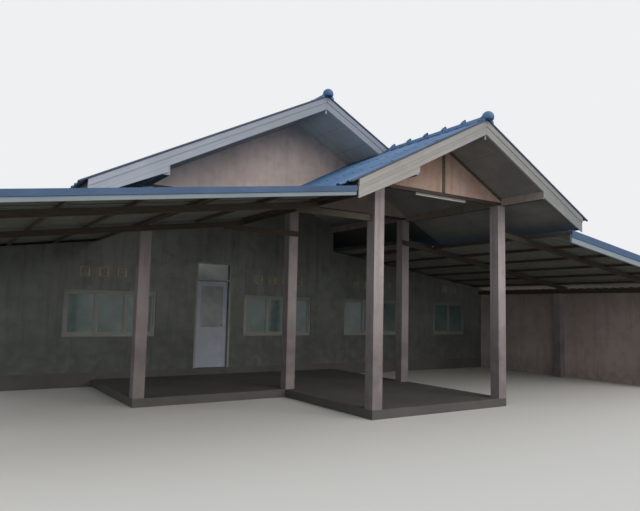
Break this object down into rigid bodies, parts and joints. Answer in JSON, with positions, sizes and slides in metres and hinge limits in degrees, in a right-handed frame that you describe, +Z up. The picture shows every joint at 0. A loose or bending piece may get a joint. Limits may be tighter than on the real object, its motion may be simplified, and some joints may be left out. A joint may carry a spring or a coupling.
{
  "type": "bungalow",
  "caption": "Single-storey house with a main gable, a lower porch gable in front, an open veranda on square columns and a low lean-to wing on each side.",
  "frame": {"origin": "on the ground under the main ridge, on the line of the front columns", "axes": "+X along the street front towards the porch and the long wing, +Y from the street into the house, +Z up"},
  "size_m": [16.2, 14.19, 5.9405],
  "materials": {
    "concrete": "trowelled cement, matte",
    "pink_render": "painted render, matte",
    "cream_render": "painted render, matte",
    "blue_sheet": "weathered blue paint, satin",
    "grey_lining": "flat grey board, matte",
    "dark_timber": "oiled rough timber",
    "brown_trim": "dark brown paint, matte",
    "painted_board": "chalky white paint over grain",
    "window_glass": "clear, slightly dusty",
    "frosted_glass": "frosted",
    "vent_block": "painted cement block, matte",
    "door_paint": "pale blue-grey paint, satin",
    "steel": "satin",
    "white_enamel": "gloss enamel"
  },
  "bodies": {
    "house": {"veranda_slab": "concrete", "room_floor": "concrete", "porch_columns": "pink_render", "house_columns": "pink_render", "wing_columns": "pink_render", "porch_plates": "pink_render", "main_plates": "pink_render", "tie_beams": "brown_trim", "pediment_panels": "pink_render", "pediment_trim": "brown_trim", "gable_panel": "pink_render", "front_wall_left": "cream_render", "front_wall_right": "cream_render", "front_wall_over_door": "cream_render", "rear_wall": "cream_render", "side_wall_left": "cream_render", "side_wall_right": "cream_render", "clerestory_walls": "cream_render", "main_roof_left": "blue_sheet", "main_roof_right": "blue_sheet", "porch_roof_left": "blue_sheet", "porch_roof_right": "blue_sheet", "main_lining": "grey_lining", "porch_lining": "grey_lining", "roof_timbers": "dark_timber", "main_ridge": "blue_sheet", "porch_ridge": "blue_sheet", "main_bargeboards": "painted_board", "porch_bargeboards": "painted_board", "eaves_boards": "brown_trim", "left_wing_roof": "blue_sheet", "right_wing_roof": "blue_sheet", "wing_frames": "dark_timber", "wing_verges": "blue_sheet", "wing_front_rafters": "painted_board", "window_frames": "painted_board", "window_glass": "window_glass", "wall_vents": "vent_block", "door_frame": "painted_board", "frame_hinges": "steel", "tube_light": "white_enamel"},
    "door": {"leaf_hinges": "steel", "door_leaf": "door_paint", "door_glass": "frosted_glass", "door_handle": "steel"}
  },
  "joints": [
    {"name": "front_door", "type": "hinge", "parent": "house", "child": "door", "pos_m": [-0.8015, 3.067, 1.3], "axis": [0, 0, 1], "range_deg": [0, 90]}
  ]
}
